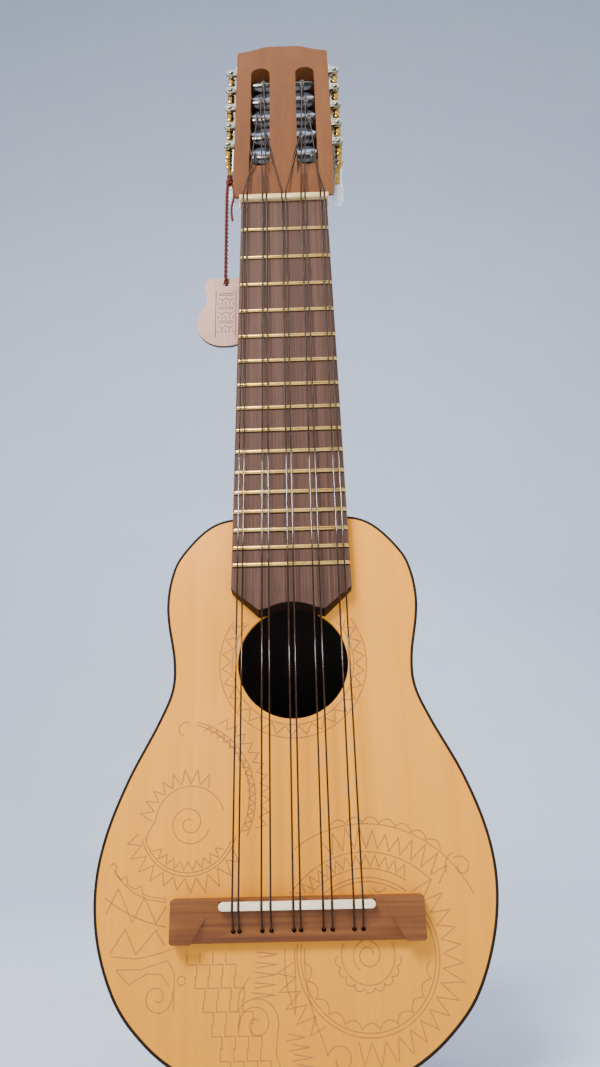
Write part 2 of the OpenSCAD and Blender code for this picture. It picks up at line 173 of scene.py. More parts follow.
def resample(pts, step):
    pts = [Vector(p) for p in pts]
    out = [pts[0]]; acc = 0.0
    for a, b in zip(pts, pts[1:]):
        L = (b - a).length
        if L < 1e-9:
            continue
        t = step - acc
        while t <= L:
            out.append(a.lerp(b, t / L)); t += step
        acc = (acc + L) % step if acc + L >= step else acc + L
    if (out[-1] - pts[-1]).length > step * 0.3:
        out.append(pts[-1])
    else:
        out[-1] = pts[-1]
    return out

T8 = math.radians(8)
C8, S8 = math.cos(T8), math.sin(T8)
def head(x, y, z):
    return Vector((x, -10 + y * C8 + z * S8, 3 - y * S8 + z * C8))
HEAD_Y = Vector((0, C8, -S8)); HEAD_Z = Vector((0, S8, C8))

# ------------------------------------------------------------------ materials
def new_mat(name):
    mt = bpy.data.materials.new(name)
    mt.use_nodes = True
    nt = mt.node_tree
    nt.nodes.clear()
    out = nt.nodes.new("ShaderNodeOutputMaterial")
    bs = nt.nodes.new("ShaderNodeBsdfPrincipled")
    nt.links.new(bs.outputs[0], out.inputs[0])
    return mt, nt, bs

def node(nt, kind, **kw):
    n = nt.nodes.new(kind)
    for k, v in kw.items():
        if k in n.inputs and not hasattr(n, k):
            n.inputs[k].default_value = v
        else:
            setattr(n, k, v)
    return n

def coords(nt, scale=(1, 1, 1), loc=(0, 0, 0), rot=(0, 0, 0)):
    tc = nt.nodes.new("ShaderNodeTexCoord")
    mp = nt.nodes.new("ShaderNodeMapping")
    mp.inputs["Scale"].default_value = scale
    mp.inputs["Location"].default_value = loc
    mp.inputs["Rotation"].default_value = rot
    nt.links.new(tc.outputs["Object"], mp.inputs["Vector"])
    return mp.outputs[0]

def noise(nt, vec, scale, detail=4, rough=0.55, dist=0.0):
    n = nt.nodes.new("ShaderNodeTexNoise")
    n.inputs["Scale"].default_value = scale
    n.inputs["Detail"].default_value = detail
    n.inputs["Roughness"].default_value = rough
    n.inputs["Distortion"].default_value = dist
    nt.links.new(vec, n.inputs["Vector"])
    return n.outputs["Fac"]

def ramp(nt, fac, stops):
    r = nt.nodes.new("ShaderNodeValToRGB")
    el = r.color_ramp.elements
    while len(el) < len(stops):
        el.new(0.5)
    for e, (p, c) in zip(el, stops):
        e.position = p
        e.color = c if len(c) == 4 else (*c, 1)
    nt.links.new(fac, r.inputs[0])
    return r.outputs[0]

def mixc(nt, a, b, fac, mode="MIX"):
    mx = nt.nodes.new("ShaderNodeMix")
    mx.data_type = "RGBA"; mx.blend_type = mode
    for s, v in ((6, a), (7, b)):
        if hasattr(v, "links") or isinstance(v, bpy.types.NodeSocket):
            nt.links.new(v, mx.inputs[s])
        else:
            mx.inputs[s].default_value = v
    if isinstance(fac, (int, float)):
        mx.inputs[0].default_value = fac
    else:
        nt.links.new(fac, mx.inputs[0])
    return mx.outputs[2]

def maprange(nt, v, a, b, c, d):
    n = nt.nodes.new("ShaderNodeMapRange")
    n.inputs["From Min"].default_value = a; n.inputs["From Max"].default_value = b
    n.inputs["To Min"].default_value = c; n.inputs["To Max"].default_value = d
    nt.links.new(v, n.inputs["Value"])
    return n.outputs[0]

def bump(nt, bs, h, strength=0.3, dist=0.0002):
    b = nt.nodes.new("ShaderNodeBump")
    b.inputs["Strength"].default_value = strength
    b.inputs["Distance"].default_value = dist
    nt.links.new(h, b.inputs["Height"])
    nt.links.new(b.outputs[0], bs.inputs["Normal"])

def wood(name, dark, mid, light, grain=(900, 900, 14), broad=(60, 60, 3), rough=(0.35, 0.5), coat=0.0,
         pores=0.0, bump_s=0.25, contrast=(0.3, 0.7), painted_shade_tint=None, pore_col=None, spec=0.5):
    mt, nt, bs = new_mat(name)
    bs.inputs["Specular IOR Level"].default_value = spec
    fine = noise(nt, coords(nt, grain), 1.0, 5, 0.6)
    wide = noise(nt, coords(nt, broad), 1.0, 3, 0.5, 0.6)
    c1 = ramp(nt, fine, [(contrast[0], dark), ((contrast[0] + contrast[1]) / 2, mid), (contrast[1], light)])
    c2 = ramp(nt, wide, [(0.3, dark), (0.5, mid), (0.72, light)])
    col = mixc(nt, c1, c2, 0.45)
    # painted shade: the colour is multiplied towards a darker colour between two heights in Z
    if painted_shade_tint:
        z = nt.nodes.new("ShaderNodeSeparateXYZ")
        tc = nt.nodes.new("ShaderNodeTexCoord")
        nt.links.new(tc.outputs["Object"], z.inputs[0])
        f = maprange(nt, z.outputs["Z"], painted_shade_tint[0], painted_shade_tint[1], 0.0, 1.0)
        col = mixc(nt, col, mixc(nt, col, painted_shade_tint[2], 1.0, "MULTIPLY"), f)
    if pores:
        p = noise(nt, coords(nt, (2600, 2600, 90)), 1.0, 2, 0.5)
        pf = ramp(nt, p, [(0.60, (0, 0, 0)), (0.70, (1, 1, 1))])
        pm = nt.nodes.new("ShaderNodeMath"); pm.operation = "MULTIPLY"; pm.inputs[1].default_value = pores
        nt.links.new(pf, pm.inputs[0])
        col = mixc(nt, col, pore_col or dark, pm.outputs[0])
    nt.links.new(col, bs.inputs["Base Color"])
    nt.links.new(maprange(nt, fine, 0.3, 0.7, rough[0], rough[1]), bs.inputs["Roughness"])
    if coat:
        bs.inputs["Coat Weight"].default_value = coat
        bs.inputs["Coat Roughness"].default_value = 0.25
    bump(nt, bs, fine, bump_s, 0.00015)
    return mt

def metal(name, a, b, rough=(0.15, 0.35), scale=300, metallic=1.0, spots=None):
    mt, nt, bs = new_mat(name)
    f = noise(nt, coords(nt, (scale,) * 3), 1.0, 4, 0.6)
    col = ramp(nt, f, [(0.35, a), (0.65, b)])
    if spots:
        g = noise(nt, coords(nt, (140,) * 3, (3, 1, 2)), 1.0, 5, 0.7)
        col = mixc(nt, col, spots, ramp(nt, g, [(0.55, (0, 0, 0)), (0.72, (0.7, 0.7, 0.7))]))
    nt.links.new(col, bs.inputs["Base Color"])
    bs.inputs["Metallic"].default_value = metallic
    nt.links.new(maprange(nt, f, 0.3, 0.7, rough[0], rough[1]), bs.inputs["Roughness"])
    bump(nt, bs, f, 0.08, 0.0001)
    return mt

def plain(name, a, b, rough=(0.3, 0.45), scale=220, coat=0.0, sss=0.0, bump_s=0.1, trans=0.0, stretch=(1, 1, 1), spec=None):
    mt, nt, bs = new_mat(name)
    if spec is not None:
        bs.inputs["Specular IOR Level"].default_value = spec
    f = noise(nt, coords(nt, tuple(scale * s for s in stretch)), 1.0, 4, 0.6)
    nt.links.new(ramp(nt, f, [(0.35, a), (0.68, b)]), bs.inputs["Base Color"])
    nt.links.new(maprange(nt, f, 0.3, 0.7, rough[0], rough[1]), bs.inputs["Roughness"])
    if coat:
        bs.inputs["Coat Weight"].default_value = coat
        bs.inputs["Coat Roughness"].default_value = 0.08
    if sss:
        bs.inputs["Subsurface Weight"].default_value = sss
        bs.inputs["Subsurface Radius"].default_value = (0.002, 0.0015, 0.001)
    if trans:
        bs.inputs["Transmission Weight"].default_value = trans
        bs.inputs["IOR"].default_value = 1.5
    bump(nt, bs, f, bump_s, 0.0001)
    return mt

# the top is painted darker and more orange towards its lower end, as painted shade
M_TOP = wood("spruce_top_m", srgb(240, 148, 32), srgb(250, 161, 40), srgb(254, 170, 49), (1500, 1500, 5), (160, 160, 2.2),
             (0.42, 0.52), 0.0, bump_s=0.04, contrast=(0.2, 0.8), painted_shade_tint=(-0.24, -0.44, (0.78, 0.81, 0.36, 1)), spec=0.22)
M_BOWL = wood("bowl_m", srgb(34, 19, 13), srgb(52, 30, 20), srgb(78, 47, 31), (260, 260, 12), (40, 40, 4), (0.25, 0.38), 0.5, 0.3, 0.15)
# inside of the bowl: its wood is painted darker than the outside, as painted shade inside the closed box
M_INNER_SHADE = wood("inner_wood_shade_m", srgb(26, 14, 9), srgb(40, 22, 14), srgb(56, 32, 21), (260, 260, 12), (40, 40, 4), (0.75, 0.9))
# dark wood of the edge binding; also used as painted shade on the fretboard's end face and as painted shadow strips
# under the frets
M_BINDING_AND_SHADE = wood("edge_m", srgb(20, 12, 8), srgb(30, 18, 12), srgb(44, 27, 18), (900, 900, 40), (80, 80, 6), (0.45, 0.6), 0.0, spec=0.15)
M_NECK = wood("neck_m", srgb(92, 48, 17), srgb(110, 62, 24), srgb(125, 74, 32), (620, 620, 10), (70, 70, 3.2), (0.6, 0.75), 0.0, 0.3, 0.12,
              pore_col=srgb(84, 36, 14), spec=0.2)
M_BOARD = wood("board_m", srgb(62, 39, 31), srgb(90, 62, 50), srgb(114, 83, 68), (900, 900, 4), (420, 420, 2), (0.6, 0.75), 0.0, 0.5, 0.2,
               contrast=(0.36, 0.64), pore_col=srgb(50, 30, 25), spec=0.2)
M_BRIDGE = wood("bridge_m", srgb(86, 44, 17), srgb(116, 66, 26), srgb(140, 88, 40), (14, 700, 700), (5, 150, 150), (0.5, 0.65), 0.0, 0.35, 0.2,
                pore_col=srgb(66, 32, 12), spec=0.3)
M_BRACE = wood("brace_m", srgb(196, 148, 84), srgb(214, 168, 104), srgb(228, 188, 126), (14, 900, 900), (4, 100, 100), (0.6, 0.75))
M_TAG = wood("tag_m", srgb(200, 148, 124), srgb(213, 164, 142), srgb(222, 178, 158), (500, 500, 30), (60, 60, 12), (0.55, 0.7), bump_s=0.15)
M_FRET = metal("fret_m", srgb(216, 170, 88), srgb(236, 196, 116), (0.24, 0.34), 90)
M_NICKEL = metal("nickel_m", srgb(118, 117, 104), srgb(160, 158, 144), (0.2, 0.36), 260)
M_BRASS = metal("brass_m", srgb(176, 126, 44), srgb(216, 170, 76), (0.2, 0.36), 300, spots=srgb(84, 56, 22))
M_CHROME = metal("roller_m", srgb(74, 71, 68), srgb(104, 100, 96), (0.12, 0.22), 400)
M_NUT = plain("nut_m", srgb(212, 178, 112), srgb(230, 198, 134), (0.28, 0.4), 260, sss=0.05, stretch=(0.3, 1, 1))
M_BONE = plain("saddle_m", srgb(236, 214, 178), srgb(248, 230, 198), (0.25, 0.36), 240, sss=0.05, stretch=(0.3, 1, 1))
M_PEARL = plain("pearl_m", srgb(222, 222, 214), srgb(246, 246, 240), (0.12, 0.25), 120, coat=0.8, sss=0.1, bump_s=0.02)
M_STRING = plain("string_m", srgb(36, 23, 16), srgb(54, 36, 25), (0.06, 0.1), 300, bump_s=0.02, spec=0.14)
M_WIND = plain("wind_m", srgb(58, 53, 48), srgb(92, 86, 79), (0.13, 0.22), 300, coat=0.3, bump_s=0.02)
M_CORD = plain("cord_m", srgb(88, 22, 16), srgb(126, 40, 28), (0.75, 0.9), 1800, bump_s=0.6, stretch=(1, 1, 0.3))
M_BURN = plain("engraving_m", srgb(164, 98, 26), srgb(186, 116, 34), (0.5, 0.65), 500)
M_BURN_TAG = plain("tag_burn_m", srgb(96, 62, 46), srgb(124, 86, 66), (0.6, 0.75), 500)
M_DARK = plain("tag_edge_m", srgb(46, 28, 20), srgb(68, 42, 30), (0.6, 0.75), 500)

# ------------------------------------------------------------------ cords first
def strand_pair(path, r_off, r_str, pitch, step=0.7, sides=10, phase=0.0):
    path = resample(path, step)
    fr = frames(path)
    parts = []
    for s in (0, math.pi):
        pts = []; d = 0.0
        for i, (p, u, v) in enumerate(fr):
            if i:
                d += (path[i] - path[i - 1]).length
            a = s + phase + 2 * math.pi * d / pitch
            pts.append(p + (u * math.cos(a) + v * math.sin(a)) * r_off)
        parts.append(tube_geo(pts, r_str, sides))
    return join_geo(parts)

def knot_geo(c, size, r, turn=0.0, flat=1.0):
    pts = []
    n = 48
    for i in range(n):
        t = 2 * math.pi * i / n
        p = Vector((math.sin(t) + 2 * math.sin(2 * t), -math.sin(3 * t) * 1.1 * flat, math.cos(t) - 2 * math.cos(2 * t))) * size
        p = Matrix.Rotation(turn, 3, "Y") @ p
        pts.append(Vector(c) + p)
    return tube_geo(pts, r, 9, closed=True)

RUN = [(-36.2, 21, 47.6), (-36.7, 20.3, 43), (-37, 19.5, 36), (-37, 19, 28), (-37, 18.7, 18), (-37, 18.5, 6), (-37, 18.4, -6),
       (-37, 18.3, -16), (-37, 18.2, -25), (-37, 18.4, -30), (-37, 19.3, -32.3), (-37, 20.4, -33), (-37, 22.6, -33)]
TAIL = [(-35.6, 21.6, 47), (-34, 21.6, 44.6), (-33, 21.2, 41), (-32.8, 20.8, 36.5), (-33.2, 20.6, 32), (-34, 20.4, 27.5),
        (-34.3, 20.3, 23), (-34, 20.3, 18.5), (-33.6, 20.3, 15.5)]
run_path = smooth_path(RUN, 8)
tail_path = smooth_path(TAIL, 8)
run = mesh_obj("tag_cord_run", *strand_pair(run_path, 0.58, 0.64, 6.5), M_CORD, "hang_cord")
tail = mesh_obj("tag_cord_tail", *tube_geo(resample(tail_path, 0.8), 0.75, 10), M_CORD, "hang_cord")
# the loop round the tuner's shaft: two turns, and the knot that closes it
loop = []
for i in range(97):
    a = 2 * math.pi * 2 * i / 96 + 2.4
    c = head(-34.2, 24.5 - 0.8 + 1.6 * i / 96, 52)
    loop.append(c + (Vector((1, 0, 0)) * math.cos(a) + HEAD_Z * math.sin(a)) * 2.62)
shaft_loop = mesh_obj("cord_loop", *tube_geo(loop, 0.74, 10), M_CORD, "hang_cord")
top_knot = mesh_obj("cord_knot", *join_geo([knot_geo((-36.1, 21.2, 46.4), 0.62, 0.78, 0.3)]), M_CORD, "hang_cord")
tag_knot = mesh_obj("tag_knot", *knot_geo((-37, 24.0, -33), 0.55, 0.7, 0.9, 1.0), M_CORD, "hang_cord")

# ------------------------------------------------------------------ flat pieces cut from a sheet
def plate(name, outlines, y0, y1, bevel, mat, body="root", res=2):
    cu = bpy.data.curves.new(name + "_c", "CURVE")
    cu.dimensions = "2D"; cu.fill_mode = "BOTH"
    half = (y1 - y0) / 2
    cu.extrude = (half - bevel) * MM
    cu.bevel_depth = bevel * MM
    cu.bevel_resolution = res
    cu.offset = -bevel * MM
    for pts in outlines:
        sp = cu.splines.new("POLY")
        sp.points.add(len(pts) - 1)
        for p, q in zip(sp.points, pts):
            p.co = (q[0] * MM, q[1] * MM, 0, 1)
        sp.use_cyclic_u = True
    co = bpy.data.objects.new(name + "_c", cu)
    S.collection.objects.link(co)
    dg = bpy.context.evaluated_depsgraph_get(); dg.update()
    me = bpy.data.meshes.new_from_object(co.evaluated_get(dg))
    bpy.data.objects.remove(co); bpy.data.curves.remove(cu)
    bm = bmesh.new(); bm.from_mesh(me)
    bmesh.ops.remove_doubles(bm, verts=bm.verts, dist=1e-6)
    mid = (y0 + y1) / 2 * MM
    for v in bm.verts:
        v.co = Vector((v.co.x, mid - v.co.z, v.co.y))
    bmesh.ops.recalc_face_normals(bm, faces=bm.faces)
    bm.to_mesh(me); bm.free()
    me.name = name
    o = bpy.data.objects.new(name, me)
    S.collection.objects.link(o)
    me.materials.clear(); me.materials.append(mat)
    for p in me.polygons:
        p.use_smooth = True; p.material_index = 0
    me.set_sharp_from_angle(angle=math.radians(50))
    if body:
        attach(o, body)
    return o

def circle(cx, cz, r, n=64, a0=0.0):
    return [(cx + r * math.cos(a0 + 2 * math.pi * i / n), cz + r * math.sin(a0 + 2 * math.pi * i / n)) for i in range(n)]

def loop_pts(p, k):
    n = len(p); out = []
    for i in range(n):
        a, b, c, d = (Vector((*p[(i + q) % n], 0)) for q in (-1, 0, 1, 2))
        for j in range(k):
            t = j / k
            v = 0.5 * ((2 * b) + (c - a) * t + (2 * a - 5 * b + 4 * c - d) * t * t + (3 * b - a - 3 * c + d) * t ** 3)
            out.append((v.x, v.y))
    return out

def inset(p, d):
    n = len(p); out = []
    for i in range(n):
        a = p[i - 1]; b = p[(i + 1) % n]
        dx, dy = b[0] - a[0], b[1] - a[1]
        l = math.hypot(dx, dy)
        out.append((p[i][0] + d * dy / l, p[i][1] - d * dx / l))
    return out

# ------------------------------------------------------------------ the tag
TAG_HALF = [(0, 4), (8, 4), (11, 3), (12.4, 0), (12.6, -4), (11.7, -9), (11.6, -12), (13.4, -17), (16, -22), (17, -28), (15.6, -35),
            (11.5, -40.5), (5.6, -43.6), (0, -44.2)]
tc = TAG_HALF + [(-x, z) for x, z in TAG_HALF[-2:0:-1]]
tag_line = [(x - 37, z - 33) for x, z in loop_pts(tc, 6)]
tag_plate = plate("tag_plate", [tag_line, circle(-37, -33, 1.7, 32)], 20.2, 22.2, 0.18, M_TAG, "hang_tag")
tag_plate.data.materials.append(M_DARK)
for p in tag_plate.data.polygons:
    if abs(p.normal.y) < 0.6:
        p.material_index = 1
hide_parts("tag")
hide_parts("tag_cord")

# ------------------------------------------------------------------ body
HALF = [(0, -196.5), (18, -196.5), (33, -197.5), (44, -203.5), (55, -216.4), (59.1, -227), (60.6, -239), (59.8, -250), (56.6, -268), (57, -282),
        (63, -297), (75.5, -321.5), (83.6, -345), (85.9, -366), (82.5, -387.5), (73.9, -408), (62, -422), (46.9, -433), (23.8, -443.5), (-1.6, -447.5)]
LEFT = [(18, -196.5), (33, -197.5), (44, -203.5), (55, -216.4), (59.1, -227), (60.6, -239), (59.8, -250), (56.6, -268), (57, -282),
        (63, -297), (75.5, -321.5), (84.2, -345), (87.4, -366), (85, -387.5), (76.9, -408), (65.6, -422), (50.8, -433), (27.2, -443.5)]
CTRL = HALF + [(-x, z) for x, z in LEFT[::-1]]
edge = loop_pts(CTRL, 8)
TOP_Y, BACK_Y = -5.0, -2.5

def oval(p, a, b):
    t = math.atan2(p[0] / 87, (p[1] + 335) / 112)
    return (a * math.sin(t), -340 + b * math.cos(t))

def shell(ol, base, depth, a, b, n, rnd=2.3):
    rings = []
    for j in range(n + 1):
        g = math.pi / 2 * j / n
        c = max(0.0, math.cos(g)) ** (2 / rnd); s = math.sin(g) ** (2 / rnd)
        ring = []
        for p, q in zip(ol, base):
            e = oval(q, a, b)
            ring.append((p[0] * c + e[0] * (1 - c), BACK_Y + depth * s, p[1] * c + e[1] * (1 - c)))
        rings.append(ring)
    return rings

body_line = loop_pts(CTRL, 6)
outer = shell(body_line, body_line, 68, 30, 62, 30)
inner = shell(inset(body_line, 6), body_line, 63.5, 27, 58, 18)
N = len(body_line)
V = []; F = []
for r in outer + inner:
    V += r
no = len(outer)
for j in range(no - 1):
    for i in range(N):
        k = (i + 1) % N
        F.append((j * N + i, j * N + k, (j + 1) * N + k, (j + 1) * N + i))
b0 = no * N
for j in range(len(inner) - 1):
    for i in range(N):
        k = (i + 1) % N
        F.append((b0 + j * N + i, b0 + (j + 1) * N + i, b0 + (j + 1) * N + k, b0 + j * N + k))
for i in range(N):
    k = (i + 1) % N
    F.append((i, b0 + i, b0 + k, k))
F.append(tuple((no - 1) * N + i for i in range(N)))
F.append(tuple(b0 + (len(inner) - 1) * N + i for i in range(N)))
bowl = mesh_obj("bowl_shell", V, F, M_BOWL)
# the inner faces take the darkened inner wood: painted shade
bowl.data.materials.append(M_INNER_SHADE)
n_out = (no - 1) * N
n_in = (len(inner) - 1) * N
for i, p in enumerate(bowl.data.polygons):
    if n_out <= i < n_out + n_in or i == len(bowl.data.polygons) - 1:
        p.material_index = 1
bowl.data.set_sharp_from_angle(angle=math.radians(50))
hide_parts("bowl")

SAD_GAP = (2.6, 3.8, 2.9, 3.7, 3.8)
nut_x = [(c - 2) * 11.25 + s * 1.15 for c in range(5) for s in (-1, 1)]
sad_x = [(c - 2) * 12.7 + s * 0.5 * SAD_GAP[c] for c in range(5) for s in (-1, 1)]
TIE_Z, SAD_Z = -382.5, -372.7
holes = [circle(x, TIE_Z, 0.95, 14) for x in sad_x]
top = plate("soundboard_top", [inset(edge, 1.25), circle(0, -270, 26, 128)] + holes, TOP_Y, BACK_Y, 0.22, M_TOP)
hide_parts("soundboard")
rim = plate("edge_binding", [edge, inset(edge, 1.27)], TOP_Y, BACK_Y, 0.3, M_BINDING_AND_SHADE)
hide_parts("binding")

# ------------------------------------------------------------------ burnt line ornament, own design
def ribbon(pts, w, y, h=0.05, closed=False):
    n = len(pts)
    V = []; F = []
    sec = [(-w, 0.12), (-w, 0.0), (-0.55 * w, -h), (0.55 * w, -h), (w, 0.0), (w, 0.12)]
    for i in range(n):
        a = Vector(pts[i - 1] if (i or closed) else pts[0]); b = Vector(pts[i]); c = Vector(pts[(i + 1) % n] if (i < n - 1 or closed) else pts[-1])
        d1 = (b - a); d2 = (c - b)
        if d1.length < 1e-6: d1 = d2
        if d2.length < 1e-6: d2 = d1
        d1.normalize(); d2.normalize()
        t = d1 + d2
        if t.length < 0.2: t = d1
        t.normalize()
        nrm = Vector((-t.y, t.x)); m_ = 1 / max(0.5, t.dot(d1))
        for s, q in sec:
            V.append((b.x + nrm.x * s * m_, y + q, b.y + nrm.y * s * m_))
    k = len(sec)
    for i in range(n if closed else n - 1):
        j = (i + 1) % n
        for q in range(k):
            F.append((i * k + q, i * k + (q + 1) % k, j * k + (q + 1) % k, j * k + q))
    if not closed:
        F.append(tuple(range(k))); F.append(tuple((n - 1) * k + q for q in range(k)))
    return V, F

def in_poly(x, z, poly):
    c = False; j = len(poly) - 1
    for i in range(len(poly)):
        if (poly[i][1] > z) != (poly[j][1] > z) and x < (poly[j][0] - poly[i][0]) * (z - poly[i][1]) / (poly[j][1] - poly[i][1]) + poly[i][0]:
            c = not c
        j = i
    return c
safe = inset(loop_pts(CTRL, 4), 4.5)
def allowed(x, z):
    if abs(x) < 53.6 and -387.6 < z < -369.4: return False
    if abs(x) < 29.8 and z > -249.5: return False
    if math.hypot(x, z + 270) < 26.8: return False
    return in_poly(x, z, safe)

def dense(pts, step=0.9):
    out = []
    for a, b in zip(pts, pts[1:]):
        L = math.hypot(b[0] - a[0], b[1] - a[1]); n = max(1, int(L / step))
        for i in range(n):
            out.append((a[0] + (b[0] - a[0]) * i / n, a[1] + (b[1] - a[1]) * i / n))
    out.append(pts[-1])
    return out

lines = []
def draw(pts):
    run_ = []
    for p in dense(pts):
        if allowed(*p):
            run_.append(p)
        else:
            if len(run_) > 2: lines.append(run_)
            run_ = []
    if len(run_) > 2: lines.append(run_)

def arc(cx, cz, r, a, b, n=None, r2=None):
    n = n or max(8, int(abs(b - a) / 4))
    return [(cx + (r + ((r2 if r2 is not None else r) - r) * i / n) * math.cos(math.radians(a + (b - a) * i / n)),
             cz + (r + ((r2 if r2 is not None else r) - r) * i / n) * math.sin(math.radians(a + (b - a) * i / n))) for i in range(n + 1)]

def teeth(cx, cz, r0, r1, a, b, n, jig=0.0):
    out = []
    for i in range(n):
        u = a + (b - a) * i / n; w = a + (b - a) * (i + 0.5) / n
        rr = r1 * (1 + jig * math.sin(7.3 * i))
        out += [(cx + r0 * math.cos(math.radians(u)), cz + r0 * math.sin(math.radians(u))),
                (cx + rr * math.cos(math.radians(w)), cz + rr * math.sin(math.radians(w)))]
    out.append((cx + r0 * math.cos(math.radians(b)), cz + r0 * math.sin(math.radians(b))))
    return out

def scallops(cx, cz, r, h, a, b, n):
    out = []
    for i in range(n):
        for j in range(9):
            u = a + (b - a) * (i + j / 9) / n
            q = r + h * math.sin(math.pi * j / 9) ** 0.7
            out.append((cx + q * math.cos(math.radians(u)), cz + q * math.sin(math.radians(u))))
    return out

# ring of triangles round the sound hole
draw(arc(0, -270, 34.6, -180, 180, 120))
draw(arc(0, -270, 28.6, -180, 180, 110))
draw(teeth(0, -270, 29.3, 33.6, -170, 190, 30))
# left spiral in its toothed crescent
cx, cz = -47, -340
draw(arc(cx, cz, 1.2, 60, 700, 90, 9.2))
draw(arc(cx, cz, 16.0, 20, 176, 60, 15.0)); draw(arc(cx, cz, 15.0, 176, 200, 10, 20.0))
draw(arc(cx, cz, 20.0, 196, 338, 50)); draw(arc(cx, cz, 21.4, 196, 345, 50))
draw(teeth(cx, cz, 22.4, 28.0, 190, 330, 11, 0.04)); draw(teeth(cx, cz, 19.2, 15.6, 215, 325, 9))
draw(teeth(cx, cz, 16.6, 22.0, 60, 176, 8, 0.04))
# band that rises from the crescent to a curl near the waist
for off in (0, 3.2):
    draw(arc(-52, -330, 31 + off, -28, 78, 40, 33 + off * 0.4))
draw(teeth(-52, -330, 31.2, 34.0, -26, 70, 15))
draw(arc(-50, -300.5, 4.5, 60, 260, 24, 1.4)); draw(teeth(-52, -330, 36.5, 40.5, -20, 62, 11))
# leafy line and two rows of triangles on the left edge
draw([(-81, -357), (-79.5, -355.6), (-77.8, -357), (-78.6, -359.6), (-76, -362.2), (-73.6, -361), (-73, -364.4), (-69.5, -366), (-67, -364.8), (-66.2, -368), (-62, -369.4), (-56, -370)])
draw([(-79, -358.5), (-75, -363.6), (-70, -367.6), (-64, -370.2), (-56, -371.4)])
draw(arc(-44, -318, 64, 220, 259, 30)); draw([(-81.5, -375.5), (-76.8, -365.6), (-70.2, -379), (-65.4, -369.4), (-60, -379.6), (-56, -373)])
draw([(-79.5, -391.5), (-73, -381.4), (-68, -391), (-60, -382), (-56, -388)]); draw([(-79.5, -391.5), (-68, -392.6), (-60, -391.2), (-52, -389)])
draw([(-76, -396.5), (-66, -396.6), (-54.5, -393.4), (-51.6, -398), (-51.6, -412)]); draw([(-76, -396.8), (-70.5, -402), (-63, -398.2), (-57, -398.6), (-53.6, -403)])
draw(arc(-58.5, -407, 6.6, 20, -500, 70, 1.0))
# interlocking steps between the scrolls
for d in range(4):
    x, z = -46.5 + 5.4 * d, -391.0
    pts = [(x, z)]
    for q in range(10):
        z -= 4.3
        pts.append((x, z))
        x += 4.2 if q % 2 == 0 else -0.6
        pts.append((x, z))
    draw(pts)
draw(arc(-48.6, -401, 1.7, 0, 340, 14))
# comb marks
for i in range(5):
    z = -391 - 3.7 * i
    draw([(-17.5 - 0.5 * i, z), (-8.6 - 0.3 * i, z - 1.0), (-16.8 - 0.5 * i, z - 2.1)])
for i in range(5):
    z = -423 - 3.5 * i
    draw([(-5.5 + 1.1 * i, z), (2.4 + 1.5 * i, z + 1.1), (-4.8 + 1.1 * i, z + 2.3)])
# lower spiral with its stems
draw(arc(-17.5, -417, 1.0, 30, 560, 70, 7.4)); draw(arc(-17.5, -417, 9.0, 150, -20, 40)); draw([(-9.0, -420), (-9.6, -428), (-6.2, -437)])
draw([(-25.3, -412.5), (-24.6, -406), (-20.4, -400)])
# leaf and stem
draw([(-5.6, -390), (-5.7, -398), (-4.6, -405), (-1.6, -414), (-1.3, -405), (-1.6, -390)])
draw([(2.6, -390), (2.6, -398), (4.0, -408), (6.6, -417), (9.6, -424), (11.0, -428.5)])
draw(arc(16.4, -430, 5.6, 165, -190, 40, 2.0)); draw(arc(29, -438, 5.2, 35, 150, 20))
# great medallion on the right
cx, cz = 29, -393
draw(arc(cx, cz, 11.0, 0, 360, 60)); draw(scallops(cx, cz, 12.2, 1.7, 180, 360, 9)); draw(arc(cx, cz, 2.2, 0, 600, 60, 6.6))
draw(arc(cx, cz, 28.0, -180, 180, 120)); draw(arc(cx, cz, 29.6, -180, 180, 120))
draw(scallops(cx, cz, 27.0, -2.6, -176, -4, 11)); draw(scallops(cx, cz, 27.0, -2.6, 32, 84, 4))
draw(teeth(cx, cz, 31.2, 38.6, -176, -126, 5, 0.03)); draw(teeth(cx, cz, 31.2, 39.4, -100, 50, 15, 0.03))
draw(arc(cx, cz, 33.2, 58, 146, 40)); draw(teeth(cx, cz, 34.0, 38.6, 60, 144, 13)); draw(arc(cx, cz, 39.8, 46, 150, 60))
draw(teeth(cx, cz, 41.2, 49.0, 40, 116, 11, 0.03)); draw(arc(cx, cz, 51.2, 26, 126, 60)); draw(scallops(cx, cz, 51.6, 2.4, 50, 106, 7))
draw(arc(cx, cz, 43.0, -80, -34, 40)); draw(arc(70.5, -360, 4.6, 130, -200, 40, 1.4)); draw(arc(70.5, -360, 6.6, 200, 118, 14))
# petals between the scrolls on the right edge
draw([(66, -424), (61.5, -428.5), (56, -431)]); draw([(46, -436.5), (40.6, -437.5), (37, -440)])
VV, FF = join_geo([ribbon(l, 0.27, TOP_Y) for l in lines])
art = mesh_obj("top_engraving", VV, FF, M_BURN, "root", smooth=False)
# tag: hand-cut lines, a column of bars and chevrons
tl = []
for i in range(9):
    z = -40 - 3.3 * i
    if i % 3 == 0:
        tl += [[(-41.5, z), (-32.5, z)], [(-41.5, z - 1.3), (-32.5, z - 1.3)]]
    elif i % 3 == 1:
        tl.append([(-41.5, z), (-39.2, z - 1.9), (-37, z), (-34.8, z - 1.9), (-32.5, z)])
    else:
        tl += [[(-41.5 + 2.25 * q, z + 0.3), (-41.5 + 2.25 * q, z - 1.8)] for q in range(5)]
tl.append([(-43, -38), (-43, -71)]); tl.append([(-31, -38), (-31, -71)])
VV, FF = join_geo([ribbon(dense(l, 0.8), 0.26, 20.2) for l in tl])
tag_art = mesh_obj("tag_engraving", VV, FF, M_BURN_TAG, "hang_tag", smooth=False)

